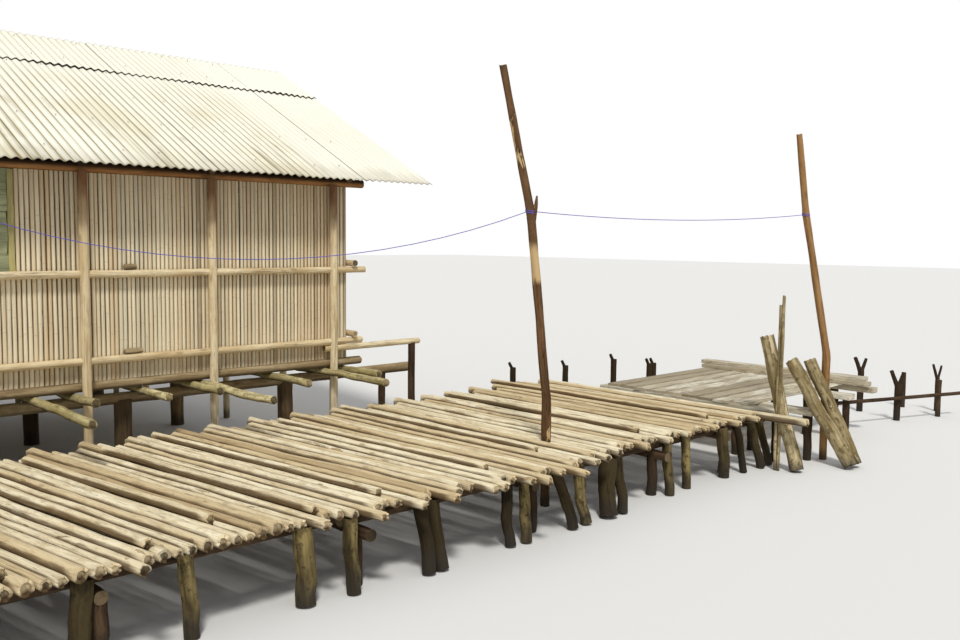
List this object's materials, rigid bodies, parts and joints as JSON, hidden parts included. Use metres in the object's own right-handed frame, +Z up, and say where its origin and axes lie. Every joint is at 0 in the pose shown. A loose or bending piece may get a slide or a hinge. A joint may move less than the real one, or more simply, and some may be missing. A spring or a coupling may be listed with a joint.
{
  "type": "stilt house",
  "caption": "House on stilts with cane walls and a corrugated gable roof, with a deck of laid poles, a plank landing, tall line poles and leaning mooring logs",
  "frame": {"origin": "centre of the foot of the middle stilt under the house, on the water line", "axes": "+X along the house towards the landing, +Y from the deck through the house to its back wall, +Z up"},
  "size_m": [15.6565, 9.1827, 4.1995],
  "materials": {
    "weathered_pole": "peeled round timber, weathered tan",
    "dark_log": "bark-covered log, dark and damp near the water",
    "wall_cane": "dry cane, beige with brown streaks",
    "deck_pole": "sun-bleached round pole, cream to tan",
    "grey_board": "rough sawn board, weathered grey",
    "green_board": "old board with worn grey-green paint",
    "roof_sheet": "corrugated sheet, chalky pale finish with brown streaks",
    "line_cord": "thin blue twisted line"
  },
  "bodies": {
    "root": {"house_stilts": "dark_log", "bearers": "dark_log", "joists": "weathered_pole", "floor": "wall_cane", "long_sills": "weathered_pole", "end_sills": "weathered_pole", "front_posts": "weathered_pole", "back_posts": "weathered_pole", "end_posts": "weathered_pole", "long_plates": "weathered_pole", "tie_beams": "weathered_pole", "king_posts": "weathered_pole", "ridge_pole": "weathered_pole", "front_rafters": "weathered_pole", "back_rafters": "weathered_pole", "front_purlins": "weathered_pole", "back_purlins": "weathered_pole", "front_lower_sheets": "roof_sheet", "front_upper_sheets": "roof_sheet", "back_lower_sheets": "roof_sheet", "back_upper_sheets": "roof_sheet", "front_wall_right": "wall_cane", "window_wall": "wall_cane", "front_wall_left": "wall_cane", "back_wall": "wall_cane", "end_walls": "wall_cane", "gables": "wall_cane", "wall_rails": "weathered_pole", "end_rails": "weathered_pole", "window_frame": "green_board", "window_boards": "green_board", "door_jambs": "weathered_pole", "deck_cross_logs": "dark_log", "deck_stringers": "weathered_pole", "deck_posts": "dark_log", "deck_front_posts": "dark_log", "deck_poles": "deck_pole", "near_line_pole": "dark_log", "far_line_pole": "dark_log", "landing_beams": "grey_board", "landing_boards": "grey_board", "landing_posts": "dark_log", "leaning_logs": "dark_log", "far_stakes": "dark_log", "line": "line_cord"}
  },
  "joints": []
}
